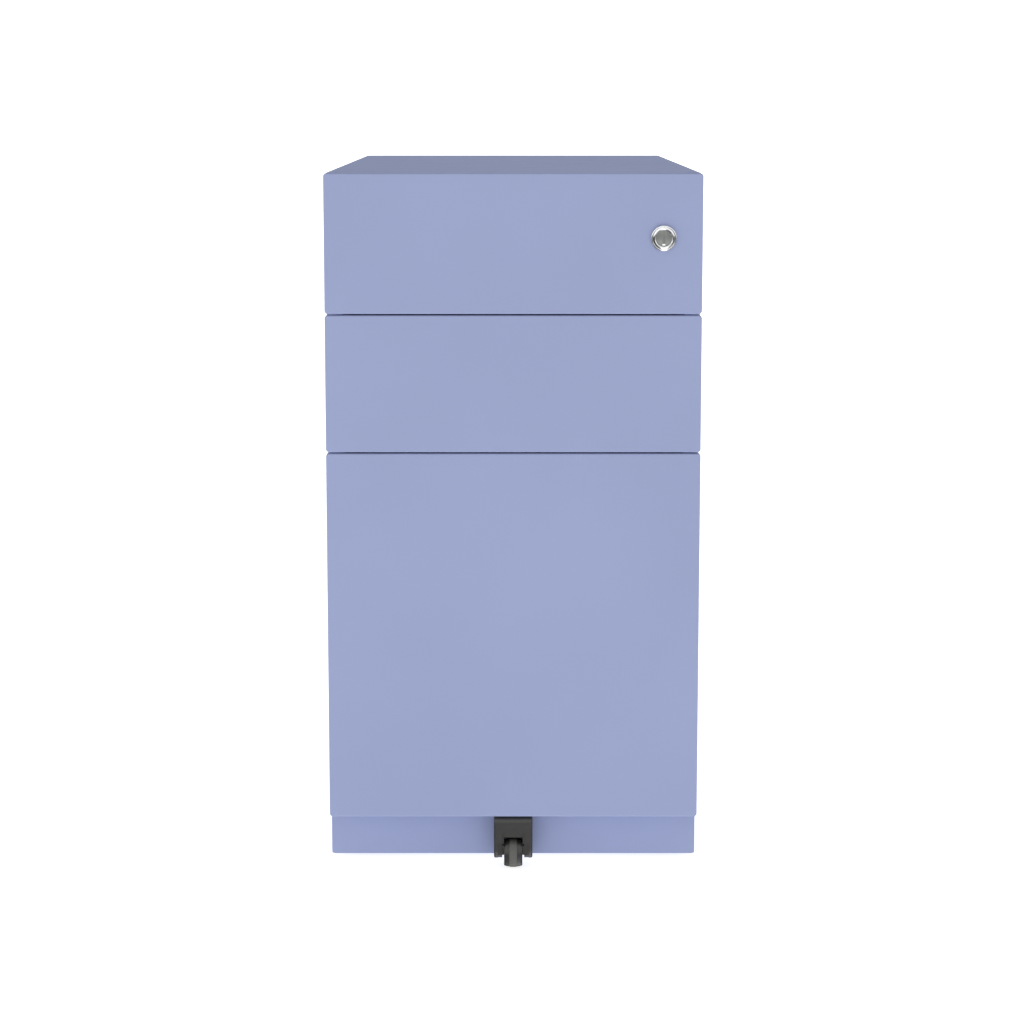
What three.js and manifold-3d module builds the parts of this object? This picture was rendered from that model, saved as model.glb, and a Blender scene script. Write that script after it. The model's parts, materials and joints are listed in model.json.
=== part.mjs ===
// Bedside cabinet: a narrow steel pedestal with two shallow drawers over a deep one, on hidden twin-wheel
// castors, with a fixed fifth castor under the deep drawer's front and a lock that works a locking bar.
//
// Units are millimetres. +Z is up, the drawer fronts face -Y, and +X is to the right seen from the front.
// The origin is on the floor, under the middle of the whole object.

import * as THREE from "three";
import { mergeVertices } from "three/addons/utils/BufferGeometryUtils.js";
import Module from "manifold-3d";

const wasm = await Module();
wasm.setup();

// ---------------------------------------------------------------------------------------------------
// Driving dimensions
// ---------------------------------------------------------------------------------------------------

const WIDTH = 300;
const DEPTH = 565; // from the drawers' faces to the back
const HEIGHT = 569;
const SHEET = 1; // steel sheet
const SEAM = 0.3; // between pieces that touch
const RUNNING = 0.1; // around anything that turns
const OVER = 1; // how far a cutting tool reaches past what it cuts

const LOCK_PROUD = 3; // the lock's ring in front of the drawer's face
const FACE_Y = LOCK_PROUD - (DEPTH + LOCK_PROUD) / 2;
const BACK_Y = FACE_Y + DEPTH;

const FRONT_DEPTH = 20; // a drawer front, face to back
const FRONT_CORNER = 2.5; // corner radius of a front, seen square on
const FRONT_FOLD = 1.1; // fold radius round a front's face
const FRONT_GAP = 1.1; // between one front and the next
const SHUT_GAP = 1.5; // between a shut front and the carcase
const LIP_DEPTH = 7; // the turned edge that fingers pull on
const FRONT_BACK_Y = FACE_Y + FRONT_DEPTH;
const CARCASE_Y = FRONT_BACK_Y + SHUT_GAP;

const FRONTS_BOTTOM = 45.5;
const SKIRT_BOTTOM = 7.5; // the lowest edge of the carcase
const STILE_WIDTH = 13; // turned-in front edge of the carcase, and the finger channel beside each front
const STILE_DEPTH = 30;
const STILE_X = WIDTH / 2 - STILE_WIDTH;
const BASE_TOP = FRONTS_BOTTOM + 3.5;
const BASE_FLANGE = 9;
const BACK_FLANGE = 14; // turned-in edge round the back
const PLINTH_FLANGE = 14;
const TOP_FOLD = 1.5; // fold radius along the top's long edges
const EDGE_FOLD = 1.2; // fold radius round the carcase's front and back

const TRAY_HALF = 124;
const TRAY_BACK_Y = 236.5;
const HEM = 6;

const RUNNER_START_Y = -248.5;
const RUNNER_END_Y = 241.5;
const RUNNER_SHEET = 1.2;
const RUNNER_X = STILE_X - SEAM; // outer face of the runner, against the stile
const INNER_MEMBER_START_Y = RUNNER_START_Y - 5;
const CAGE_LENGTH = 120;
const CAGE_ROOM = 3; // left in front of a cage when its drawer is fully open
const UPRIGHT_DEPTH = 30;
const UPRIGHT_BEHIND = 5; // how far the rear uprights reach behind the runners

// The members of a runner: the distances of the member's web and of its open edge from the runner's
// outer face, and how far it stands back from the runner's top and bottom.
const THREE_PART_RUNNER = { outer: [0, 10, 0], between: [3.5, 11, 4.5], inner: [12.4, 6.5, 9.5] };
const TWO_PART_RUNNER = { outer: [0, 9, 0], between: [2.2, 7.5, 2.2], inner: [12.4, 5, 5.2] };

// Each drawer, from the floor up. Heights are of its front, of its tray above the front's lower edge, of
// the tray's sides, of the runner's centre and of the latch plate that the locking bar catches.
const DRAWERS = {
  bottom_drawer: { front: 300.2, tray: 13, side: 262, runner: 133, runnerHeight: 45, latch: 168 },
  middle_drawer: { front: 109.9, tray: 10, side: 84, runner: 40, runnerHeight: 35, latch: 70 },
  top_drawer: { front: 111.2, tray: 10, side: 84, runner: 40, runnerHeight: 35 },
};
const TALLEST_TWO_PART = 40; // runners above this height have three members
const CAGE_RUNNERS_TRAVEL = 360; // of the two shallow drawers, on two-part runners with a ball cage

const LOCK_X = 119;
const LOCK_Z = 518;
const LOCK_RING = 10.2;
const LOCK_BARREL = 8.2;
const PLUG = 6.4;
const PLUG_TAIL = 3.5;
const CAM_REACH = 24;
const CAM_WIDTH = 8;
const CAM_Y = -257.5;
const CAM_SHEET = 2;

const BAR_X = [139.5, 147.5];
const BAR_Y = [-253.5, -251.5];
const BAR_Z = [70, 535];
const BAR_LIFT = 8;
const BAR_ROOM = 1.5; // around the cam and the bar's lugs where they pass through the stile
const LATCH_HEIGHT = 8;
const LATCH_X = 134;
const LATCH_GAP = 2; // between a locked drawer's latch and the lug before it
const LATCH_DROP = 1; // of an unlocked lug's upper edge below the latch

const CASTOR_X = 108;
const CASTOR_FRONT_Y = -203.5;
const CASTOR_REAR_Y = 228.5;
const CASTOR_WHEEL = 18;
const CASTOR_WHEEL_X = [5.8, 16.8]; // inner and outer faces of a wheel
const CASTOR_AXLE = 2.5;
const CASTOR_TRAIL = 12;
const CASTOR_TOP = BASE_TOP - SHEET - SEAM;
const CASTOR_PLATE_HALF = 22;
const CASTOR_PLATE_SHEET = 2;
const CASTOR_RACE = 4; // the bearing race's lower face below the plate's upper one
const CASTOR_PIN = 3;
const CASTOR_PIN_END = 27;

const FIFTH_Y = FACE_Y + 9;
const FIFTH_WHEEL = 12;
const FIFTH_WHEEL_HALF = 7.5; // half its width
const FIFTH_LIFT = 0.5; // off the floor until the deep drawer is loaded and open
const FIFTH_AXLE_Z = FIFTH_LIFT + FIFTH_WHEEL;
const FIFTH_AXLE = 2;
const FIFTH_HOUSING_HALF = 15.8;

const FILE_RAIL_SPACING = 330; // A4 suspension files

// ---------------------------------------------------------------------------------------------------
// Materials
// ---------------------------------------------------------------------------------------------------

const finish = (color, roughness, metalness) =>
  new THREE.MeshStandardMaterial({ color, roughness, metalness });

const BLUE_PAINT = finish(0x9ca6ca, 0.5, 0);
const ZINC = finish(0xb9bcc0, 0.35, 1);
const CHROME = finish(0xe6e6e6, 0.1, 1);
const SATIN_STEEL = finish(0x8a8c8b, 0.4, 1);
const BLACK_PLASTIC = finish(0x3c3c3b, 0.5, 0);
const GREY_TREAD = finish(0x62625f, 0.6, 0);

// ---------------------------------------------------------------------------------------------------
// Solids: three.js makes each shape, manifold-3d joins and cuts them
// ---------------------------------------------------------------------------------------------------

function solid(geometry) {
  const bare = geometry.index ? geometry.toNonIndexed() : geometry.clone();
  bare.deleteAttribute("normal");
  bare.deleteAttribute("uv");
  const merged = mergeVertices(bare, 1e-3);
  return new wasm.Manifold(
    new wasm.Mesh({
      numProp: 3,
      vertProperties: merged.attributes.position.array,
      triVerts: new Uint32Array(merged.index.array),
    }),
  );
}

function geometryOf(made) {
  const { vertProperties, triVerts } = made.getMesh();
  const geometry = new THREE.BufferGeometry();
  geometry.setAttribute("position", new THREE.BufferAttribute(vertProperties, 3));
  geometry.setIndex(new THREE.BufferAttribute(triVerts, 1));
  return geometry;
}

const join = (...solids) => solids.reduce((a, b) => a.add(b));
const cut = (from, ...tools) => tools.reduce((a, b) => a.subtract(b), from);

function box([x0, x1], [y0, y1], [z0, z1]) {
  const geometry = new THREE.BoxGeometry(x1 - x0, y1 - y0, z1 - z0);
  return solid(geometry.translate((x0 + x1) / 2, (y0 + y1) / 2, (z0 + z1) / 2));
}

// A box that reaches as far to the left as to the right.
const wideBox = (half, y, z) => box([-half, half], y, z);

// Prisms of an outline drawn in the plane across their length.
const ALONG = {
  x: new THREE.Matrix4().set(0, 0, 1, 0, 1, 0, 0, 0, 0, 1, 0, 0, 0, 0, 0, 1), // outline in (y, z)
  y: new THREE.Matrix4().set(1, 0, 0, 0, 0, 0, -1, 0, 0, 1, 0, 0, 0, 0, 0, 1), // outline in (x, z)
  z: new THREE.Matrix4(), // outline in (x, y)
};

function prism(outline, axis, [from, to], curveSegments = 6) {
  const geometry = new THREE.ExtrudeGeometry(outline, {
    depth: to - from,
    bevelEnabled: false,
    curveSegments,
  });
  geometry.translate(0, 0, axis === "y" ? -to : from);
  return solid(geometry.applyMatrix4(ALONG[axis]));
}

// A rectangle with its own radius at each corner: low-low, high-low, high-high and low-high.
function roundedRectangle([a0, a1], [b0, b1], radii) {
  const [r0, r1, r2, r3] = radii;
  const shape = new THREE.Shape();
  shape.moveTo(a0 + r0, b0);
  shape.lineTo(a1 - r1, b0);
  if (r1) shape.absarc(a1 - r1, b0 + r1, r1, -Math.PI / 2, 0);
  shape.lineTo(a1, b1 - r2);
  if (r2) shape.absarc(a1 - r2, b1 - r2, r2, 0, Math.PI / 2);
  shape.lineTo(a0 + r3, b1);
  if (r3) shape.absarc(a0 + r3, b1 - r3, r3, Math.PI / 2, Math.PI);
  shape.lineTo(a0, b0 + r0);
  if (r0) shape.absarc(a0 + r0, b0 + r0, r0, Math.PI, Math.PI * 1.5);
  return shape;
}

function polygon(points) {
  return new THREE.Shape(points.map(([a, b]) => new THREE.Vector2(a, b)));
}

// A turned solid. The profile is a list of [radius, place along the axis].
function turned(profile, axis, segments = 28) {
  const geometry = new THREE.LatheGeometry(
    profile.map(([r, along]) => new THREE.Vector2(r, along)),
    segments,
  );
  if (axis === "x") geometry.rotateZ(-Math.PI / 2);
  if (axis === "z") geometry.rotateX(Math.PI / 2);
  const made = solid(geometry);
  return made.volume() < 0 ? solid(flipped(geometry)) : made;
}

// The same faces, turned to face the other way.
function flipped(geometry) {
  const other = geometry.toNonIndexed();
  const { array } = other.attributes.position;
  for (let i = 0; i < array.length; i += 9)
    for (let k = 0; k < 3; k++) [array[i + k], array[i + 3 + k]] = [array[i + 3 + k], array[i + k]];
  return other;
}

const rod = (radius, axis, [from, to], segments = 20) =>
  turned([[0, from], [radius, from], [radius, to], [0, to]], axis, segments);

function mesh(name, made, material) {
  const piece = new THREE.Mesh(geometryOf(made), material);
  piece.name = name;
  return piece;
}

// ---------------------------------------------------------------------------------------------------
// Carcase
// ---------------------------------------------------------------------------------------------------

// A box rounded along its top, front and back edges, as a folded sheet is. inset is 0 for the outside
// of the sheet and SHEET for its inside.
function foldedBox(inset) {
  const x = WIDTH / 2 - inset;
  const y = [CARCASE_Y + inset, BACK_Y - inset];
  const top = TOP_FOLD - inset;
  const edge = EDGE_FOLD - inset;
  const bottom = inset ? 0 : SKIRT_BOTTOM;
  const z = [bottom, HEIGHT - inset];
  const across = prism(roundedRectangle([-x, x], z, [0, 0, top, top]), "y", y);
  const above = prism(roundedRectangle([-x, x], y, [edge, edge, edge, edge]), "z", z, 3);
  const along = prism(roundedRectangle(y, z, [0, 0, edge, edge]), "x", [-x, x], 3);
  return across.intersect(above).intersect(along);
}

// The turned-in edge of the carcase carries a second fold, which stiffens it and holds the runners.
function stileReturns() {
  const topLip = HEIGHT - STILE_WIDTH;
  const y = [CARCASE_Y + SHEET / 2, CARCASE_Y + STILE_DEPTH];
  const z = [BASE_TOP + SEAM, HEIGHT - SHEET / 2];
  return [
    box([-STILE_X - SHEET, -STILE_X], y, z),
    box([STILE_X, STILE_X + SHEET], y, z),
    wideBox(STILE_X + SHEET / 2, y, [topLip, topLip + SHEET]),
  ];
}

// Slots in the right-hand stile for the lock's cam and for the locking bar's lugs.
function stileSlots() {
  const x = [STILE_X - OVER, STILE_X + SHEET + OVER];
  const camY = [CARCASE_Y + SHEET, CAM_Y + CAM_SHEET + BAR_ROOM];
  const cam = box(x, camY, [LOCK_Z - CAM_REACH, LOCK_Z + CAM_WIDTH / 2 + BAR_ROOM]);
  const lugs = latchHeights().map((z) => {
    const lowest = z - LATCH_HEIGHT - LATCH_DROP;
    return box(
      x,
      [BAR_Y[0] - BAR_ROOM, BAR_Y[1] + BAR_ROOM],
      [lowest - BAR_ROOM, z - LATCH_DROP + BAR_LIFT + BAR_ROOM],
    );
  });
  return [cam, ...lugs];
}

// Top and both sides are one sheet, folded inwards round the front and the back.
function outerWrap() {
  const plinthSeat = FRONTS_BOTTOM + 1;
  const front = [CARCASE_Y - OVER, CARCASE_Y + SHEET + OVER];
  const back = [BACK_Y - SHEET - OVER, BACK_Y + OVER];
  const shell = cut(
    foldedBox(0),
    foldedBox(SHEET),
    wideBox(STILE_X, front, [0, HEIGHT - STILE_WIDTH]),
    wideBox(WIDTH / 2 - BACK_FLANGE, back, [0, HEIGHT - BACK_FLANGE]),
    wideBox(WIDTH, [CARCASE_Y - OVER, CARCASE_Y + SHEET + SEAM], [0, plinthSeat]),
  );
  return mesh("outer_wrap", cut(join(shell, ...stileReturns()), ...stileSlots()), BLUE_PAINT);
}

function backPanel() {
  const y = BACK_Y - SHEET - SEAM;
  const x = WIDTH / 2 - SHEET - SEAM;
  const z = [SKIRT_BOTTOM, HEIGHT - SHEET - SEAM];
  const outline = roundedRectangle([-x, x], z, [0, 0, TOP_FOLD, TOP_FOLD]);
  return mesh("back_panel", prism(outline, "y", [y - SHEET, y]), BLUE_PAINT);
}

// The floor of the carcase: a sheet with its edges turned down, which carries the castors.
function basePanel() {
  const x = WIDTH / 2 - SHEET - SEAM;
  const y = [CARCASE_Y + SHEET + SEAM, BACK_Y - 2 * SHEET - 2 * SEAM];
  const inside = [y[0] + SHEET, y[1] - SHEET];
  const body = wideBox(x, y, [BASE_TOP - BASE_FLANGE, BASE_TOP]);
  const under = wideBox(x - SHEET, inside, [0, BASE_TOP - SHEET]);
  return mesh("base_panel", cut(body, under), BLUE_PAINT);
}

// The band below the deep drawer: a channel across the full width, with rounded lower corners.
function frontPlinth() {
  const top = FRONTS_BOTTOM + 0.5;
  const flangeHalf = WIDTH / 2 - 6;
  const flangeY = [CARCASE_Y + SHEET / 2, CARCASE_Y + PLINTH_FLANGE];
  const underBase = BASE_TOP - BASE_FLANGE - SEAM;
  const corners = [FRONT_CORNER, FRONT_CORNER, 0, 0];
  const band = roundedRectangle([-WIDTH / 2, WIDTH / 2], [SKIRT_BOTTOM, top], corners);
  const flanges = [
    [SKIRT_BOTTOM, SKIRT_BOTTOM + SHEET],
    [underBase - SHEET, underBase],
  ].map((z) => wideBox(flangeHalf, flangeY, z));
  const face = prism(band, "y", [CARCASE_Y, CARCASE_Y + SHEET]);
  return mesh("front_plinth", join(face, ...flanges), BLUE_PAINT);
}

// A channel that holds the back ends of the runners, spot-welded to the side.
function rearUpright(name, side) {
  const x = [STILE_X, WIDTH / 2 - SHEET - SEAM];
  const backY = RUNNER_END_Y + UPRIGHT_BEHIND;
  const y = [backY - UPRIGHT_DEPTH, backY];
  const z = [BASE_TOP + SEAM, HEIGHT - STILE_WIDTH];
  const channel = cut(
    box(x, y, z),
    box([x[0] + SHEET, x[1] + OVER], [y[0] + SHEET, y[1] - SHEET], [z[0] - OVER, z[1] + OVER]),
  );
  return mesh(name, side > 0 ? channel : channel.mirror([1, 0, 0]), BLUE_PAINT);
}

// ---------------------------------------------------------------------------------------------------
// Runners. Each is drawn for the right-hand side, where its outer face is at RUNNER_X, and mirrored.
// ---------------------------------------------------------------------------------------------------

// A channel lying along Y. web and edge are the distances of its back and of its open edge from the
// runner's outer face, and half is half its height.
function channelMember(web, edge, half, y) {
  const t = RUNNER_SHEET;
  const out = Math.sign(edge - web);
  const at = (distance) => RUNNER_X - distance;
  const outline = polygon([
    [at(web), -half],
    [at(edge), -half],
    [at(edge), -half + t],
    [at(web + out * t), -half + t],
    [at(web + out * t), half - t],
    [at(edge), half - t],
    [at(edge), half],
    [at(web), half],
  ]);
  return prism(outline, "y", y);
}

// Three channels inside one another open the deep drawer fully. The shallow drawers have two, with a
// short cage of balls between them, which travels half as far as its drawer.
function runnerMembers(height) {
  const threePart = height > TALLEST_TWO_PART;
  const whole = [RUNNER_START_Y, RUNNER_END_Y];
  const cageEnd = RUNNER_START_Y + CAGE_LENGTH + CAGE_RUNNERS_TRAVEL / 2 + CAGE_ROOM;
  const along = {
    outer: whole,
    between: threePart ? whole : [cageEnd - CAGE_LENGTH, cageEnd],
    inner: [INNER_MEMBER_START_Y, TRAY_BACK_Y],
  };
  const sections = threePart ? THREE_PART_RUNNER : TWO_PART_RUNNER;
  return Object.entries(sections).map(([member, [web, edge, less]]) => [
    member,
    channelMember(web, edge, height / 2 - less, along[member]),
  ]);
}

function runners(drawer, spec) {
  const betweenName = spec.runnerHeight > TALLEST_TWO_PART ? "middle_slide" : "ball_cage";
  const names = { outer: "outer_slide", between: betweenName, inner: "inner_slide" };
  const members = runnerMembers(spec.runnerHeight);
  const group = new THREE.Group();
  group.position.z = spec.runner;
  for (const [side, mirror] of [["right", false], ["left", true]])
    for (const [member, made] of members) {
      const placed = mirror ? made.mirror([1, 0, 0]) : made;
      group.add(mesh(`${drawer}_${side}_${names[member]}`, placed, ZINC));
    }
  return group;
}

// ---------------------------------------------------------------------------------------------------
// Drawers. Each is drawn with z = 0 at its front's lower edge.
// ---------------------------------------------------------------------------------------------------

// A slab with rounded corners and a rounded fold all round its face. Its back is left square.
function facedSlab(height, inset) {
  const x = WIDTH / 2 - inset;
  const corner = FRONT_CORNER - inset;
  const fold = FRONT_FOLD - inset;
  const outline = roundedRectangle([-x, x], [inset, height - inset], Array(4).fill(corner));
  const geometry = new THREE.ExtrudeGeometry(outline, {
    depth: 2 * FRONT_DEPTH,
    curveSegments: 4,
    bevelThickness: fold,
    bevelSize: fold,
    bevelOffset: -fold,
    bevelSegments: 4,
  });
  // the far end of the extrusion becomes the face
  geometry.applyMatrix4(ALONG.y).translate(0, FACE_Y + inset + 2 * FRONT_DEPTH + fold, 0);
  return solid(geometry);
}

// The painted front: a pan whose top and bottom reach back to the carcase. Its ends stop at a shallow
// lip, which leaves a channel for the fingers behind each end.
function frontShell(name, height, holes = []) {
  const slab = facedSlab(height, 0).intersect(
    wideBox(WIDTH, [FACE_Y - OVER, FRONT_BACK_Y], [-OVER, height + OVER]),
  );
  const channels = [-1, 1].map((side) => {
    const x = side > 0 ? [STILE_X, WIDTH] : [-WIDTH, -STILE_X];
    return box(x, [FACE_Y + LIP_DEPTH, FRONT_BACK_Y + OVER], [-OVER, height + OVER]);
  });
  return mesh(name, cut(slab, facedSlab(height, SHEET), ...channels, ...holes), BLUE_PAINT);
}

// The pan behind the front, whose turned ends are the inner walls of the finger channels.
function frontLiner(name, height, holes = []) {
  const inset = SHEET + 2 * SEAM;
  const z = [inset, height - inset];
  const body = wideBox(STILE_X, [FACE_Y + inset, FRONT_BACK_Y], z);
  const room = wideBox(STILE_X - SHEET, [FACE_Y, FRONT_BACK_Y - SHEET], [z[0] - OVER, z[1] + OVER]);
  return mesh(name, cut(body, room, ...holes), BLUE_PAINT);
}

// Bottom and both sides from one sheet, with the upper edges hemmed inwards.
function tray(name, spec, notches = []) {
  const x = TRAY_HALF;
  const inside = x - SHEET;
  const low = spec.tray;
  const high = low + spec.side;
  const outline = polygon([
    [-x, low],
    [x, low],
    [x, high],
    [x - HEM, high],
    [x - HEM, high - SHEET],
    [inside, high - SHEET],
    [inside, low + SHEET],
    [-inside, low + SHEET],
    [-inside, high - SHEET],
    [-x + HEM, high - SHEET],
    [-x + HEM, high],
    [-x, high],
  ]);
  const folded = prism(outline, "y", [FRONT_BACK_Y + SEAM, TRAY_BACK_Y]);
  return mesh(name, cut(folded, ...notches), BLUE_PAINT);
}

// The back wall, with a flange along its top.
function trayBack(name, spec) {
  const flangeDepth = 9;
  const x = TRAY_HALF - SHEET - SEAM;
  const low = spec.tray + SHEET + SEAM;
  const high = spec.tray + spec.side - SHEET - SEAM;
  const wall = wideBox(x, [TRAY_BACK_Y - 2 * SHEET, TRAY_BACK_Y - SHEET], [low, high]);
  const flangeY = [TRAY_BACK_Y - SHEET - flangeDepth, TRAY_BACK_Y - SHEET];
  const flange = wideBox(x, flangeY, [high - SHEET, high]);
  return mesh(name, join(wall, flange), BLUE_PAINT);
}

// The plate on a drawer's right side that the locking bar's lug stands in front of when locked.
function latch(name, spec) {
  const [toothSheet, footSheet, footLength] = [3, 2, 24];
  const x0 = TRAY_HALF + SEAM;
  const z = [spec.latch, spec.latch + LATCH_HEIGHT];
  const frontY = BAR_Y[1] + LATCH_GAP;
  const tooth = box([x0, LATCH_X], [frontY, frontY + toothSheet], z);
  const foot = box([x0, x0 + footSheet], [frontY, frontY + footLength], z);
  return mesh(name, join(tooth, foot), ZINC);
}

function drawerBase(name, spec, { holes = [], notches = [] } = {}) {
  const group = new THREE.Group();
  group.position.z = bottomOf(name);
  group.add(
    frontShell(`${name}_front_shell`, spec.front, holes),
    frontLiner(`${name}_front_liner`, spec.front, holes),
    tray(`${name}_tray`, spec, notches),
    trayBack(`${name}_back`, spec),
    runners(name, spec),
  );
  if (spec.latch) group.add(latch(`${name}_latch`, spec));
  return group;
}

// The height of a drawer front's lower edge above the floor.
function bottomOf(name) {
  let z = FRONTS_BOTTOM;
  for (const [other, { front }] of Object.entries(DRAWERS)) {
    if (other === name) return z;
    z += front + FRONT_GAP;
  }
  throw new Error(`no drawer is named ${name}`);
}

function latchHeights() {
  return Object.entries(DRAWERS)
    .filter(([, spec]) => spec.latch)
    .map(([name, spec]) => bottomOf(name) + spec.latch);
}

// The top drawer has a hole for the lock, and its right side is notched where the cam swings.
function topDrawer() {
  const z = LOCK_Z - bottomOf("top_drawer");
  const through = [FACE_Y - OVER, FRONT_BACK_Y + OVER];
  const hole = rod(LOCK_BARREL + SEAM, "y", through, 28).translate([LOCK_X, 0, z]);
  const room = box(
    [LOCK_X - 2, TRAY_HALF + OVER],
    [FRONT_BACK_Y - OVER, CAM_Y + 8],
    [z - CAM_REACH - 6, z + LOCK_BARREL + 4],
  );
  return drawerBase("top_drawer", DRAWERS.top_drawer, { holes: [hole], notches: [room] });
}

// Two rails across the deep drawer, hooked over its sides, for suspension files.
function fileRail(name, y) {
  const spec = DRAWERS.bottom_drawer;
  const top = spec.tray + spec.side;
  const inside = TRAY_HALF - HEM - SEAM;
  const [barSheet, barDepth, hookReach] = [2, 14, 4];
  const bar = wideBox(inside, [y, y + barSheet], [top - barDepth, top + SEAM + SHEET]);
  const hookY = [y - hookReach, y + barSheet + hookReach];
  const hooks = [-1, 1].map((side) => {
    const x = [inside - 1, TRAY_HALF - SEAM].map((v) => side * v).sort((a, b) => a - b);
    return box(x, hookY, [top + SEAM, top + SEAM + SHEET]);
  });
  return mesh(name, join(bar, ...hooks), ZINC);
}

function bottomDrawer() {
  const group = drawerBase("bottom_drawer", DRAWERS.bottom_drawer);
  const frontRailY = FRONT_BACK_Y + 40;
  group.add(
    fileRail("file_rail_front", frontRailY),
    fileRail("file_rail_rear", frontRailY + FILE_RAIL_SPACING),
  );
  return group;
}

// ---------------------------------------------------------------------------------------------------
// Lock and locking bar
// ---------------------------------------------------------------------------------------------------

// A ring in front of the face and a threaded barrel behind it, bored for the plug.
function lockHousing() {
  const ringY = FACE_Y - LOCK_PROUD;
  const bore = PLUG + RUNNING;
  const profile = [
    [bore, ringY + 1.2],
    [bore + 1, ringY + 0.2],
    [LOCK_RING - 1.6, ringY],
    [LOCK_RING - 0.4, ringY + 0.8],
    [LOCK_RING, ringY + 2],
    [LOCK_RING, FACE_Y - SEAM],
    [LOCK_BARREL, FACE_Y - SEAM],
    [LOCK_BARREL, FRONT_BACK_Y + 1.5],
    [bore, FRONT_BACK_Y + 1.5],
    [bore, ringY + 1.2],
  ];
  return mesh("lock_housing", turned(profile, "y", 40), CHROME);
}

// Tightened against the back of the skin.
function lockNut() {
  const y = [FACE_Y + SHEET + SEAM, FACE_Y + SHEET + SEAM + 3];
  const [inner, outer] = [LOCK_BARREL + RUNNING, LOCK_BARREL + 3.5];
  const profile = [[inner, y[0]], [outer, y[0]], [outer, y[1]], [inner, y[1]], [inner, y[0]]];
  return mesh("lock_nut", turned(profile, "y", 24), ZINC);
}

// The part that the key turns, with its keyway upright, and the tail that carries the cam.
function lockPlug() {
  const faceY = FACE_Y - LOCK_PROUD + 0.9;
  const shoulderY = CAM_Y - RUNNING;
  const body = turned(
    [
      [0, faceY],
      [PLUG - 0.5, faceY],
      [PLUG, faceY + 0.5],
      [PLUG, shoulderY],
      [PLUG_TAIL, shoulderY],
      [PLUG_TAIL, CAM_Y + CAM_SHEET + 2],
      [0, CAM_Y + CAM_SHEET + 2],
    ],
    "y",
    32,
  );
  const keyway = wideBox(0.9, [faceY - 1, faceY + 3], [-4.5, 4.5]);
  return mesh("lock_plug", cut(body, keyway), SATIN_STEEL);
}

// Points down when unlocked. A quarter turn swings it to the right, into the stile.
function lockCam() {
  const half = CAM_WIDTH / 2;
  const head = rod(PLUG, "y", [CAM_Y, CAM_Y + CAM_SHEET], 24);
  const arm = roundedRectangle([-half, half], [-CAM_REACH, 0], [half - 0.5, half - 0.5, 0, 0]);
  const hole = rod(PLUG_TAIL + RUNNING, "y", [CAM_Y - OVER, CAM_Y + CAM_SHEET + OVER], 20);
  const plate = join(head, prism(arm, "y", [CAM_Y, CAM_Y + CAM_SHEET], 5));
  return mesh("lock_cam", cut(plate, hole), ZINC);
}

function lock() {
  const group = new THREE.Group();
  group.position.set(LOCK_X, 0, LOCK_Z);
  group.add(lockHousing(), lockNut(), lockPlug(), lockCam());
  return group;
}

// Lies in the right-hand stile. The cam lifts it by its finger, and each lug then stands in front of a
// drawer's latch.
function lockingBar() {
  const fingerZ = LOCK_Z + CAM_WIDTH / 2 - BAR_LIFT + SEAM;
  const strip = box(BAR_X, BAR_Y, BAR_Z);
  const finger = box(BAR_X, [CARCASE_Y + 2 * SHEET, BAR_Y[1]], [fingerZ, fingerZ + 2]);
  const lugs = latchHeights().map((z) =>
    box([STILE_X - 8, BAR_X[0] + 1], BAR_Y, [z - LATCH_DROP - LATCH_HEIGHT, z - LATCH_DROP]),
  );
  return mesh("locking_bar", join(strip, finger, ...lugs), ZINC);
}

// ---------------------------------------------------------------------------------------------------
// Castors
// ---------------------------------------------------------------------------------------------------

// The plate under the carcase's floor, with the upper bearing race and the swivel pin.
function castorPlate(name) {
  const across = [-CASTOR_PLATE_HALF, CASTOR_PLATE_HALF];
  const outline = roundedRectangle(across, across, Array(4).fill(5));
  const plate = prism(outline, "z", [CASTOR_TOP - CASTOR_PLATE_SHEET, CASTOR_TOP]);
  const race = rod(12, "z", [CASTOR_TOP - CASTOR_RACE, CASTOR_TOP - CASTOR_PLATE_SHEET / 2], 28);
  const pin = rod(CASTOR_PIN, "z", [CASTOR_PIN_END, CASTOR_TOP - CASTOR_PLATE_SHEET / 2], 20);
  return mesh(`${name}_plate`, join(plate, race, pin), ZINC);
}

// Swivels on the pin. Its hood covers the upper half of both wheels, and a web between them holds the
// axle.
function castorFork(name) {
  const [inner, outer] = [CASTOR_WHEEL + 1.2, CASTOR_WHEEL + 3.2];
  const hoodHalf = CASTOR_WHEEL_X[1] + 0.7;
  const webHalf = CASTOR_WHEEL_X[0] - 0.8;
  const hoodShape = new THREE.Shape();
  const [from, to] = [0.05 * Math.PI, 0.97 * Math.PI];
  hoodShape.absarc(CASTOR_TRAIL, CASTOR_WHEEL, outer, from, to, false);
  hoodShape.absarc(CASTOR_TRAIL, CASTOR_WHEEL, inner, to, from, true);
  const webShape = new THREE.Shape();
  webShape.absarc(CASTOR_TRAIL, CASTOR_WHEEL, 7, -0.55 * Math.PI, 0.1 * Math.PI, false);
  const webTop = CASTOR_WHEEL + outer - 2;
  webShape.lineTo(CASTOR_TRAIL + 8, webTop);
  webShape.lineTo(-5, webTop);
  webShape.lineTo(-5, CASTOR_PIN_END - 3);
  const bossTop = CASTOR_TOP - CASTOR_RACE - SEAM;
  const body = join(
    prism(hoodShape, "x", [-hoodHalf, hoodHalf], 10),
    prism(webShape, "x", [-webHalf, webHalf], 8),
    rod(11, "z", [webTop - 0.5, bossTop], 28),
  );
  const pinHole = rod(CASTOR_PIN + RUNNING, "z", [CASTOR_PIN_END - 0.5, CASTOR_TOP], 20);
  const axleX = [-webHalf - OVER, webHalf + OVER];
  const axlePlace = [0, CASTOR_TRAIL, CASTOR_WHEEL];
  const axleHole = rod(CASTOR_AXLE + RUNNING, "x", axleX, 20).translate(axlePlace);
  return mesh(`${name}_fork`, cut(body, pinHole, axleHole), BLACK_PLASTIC);
}

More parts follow.
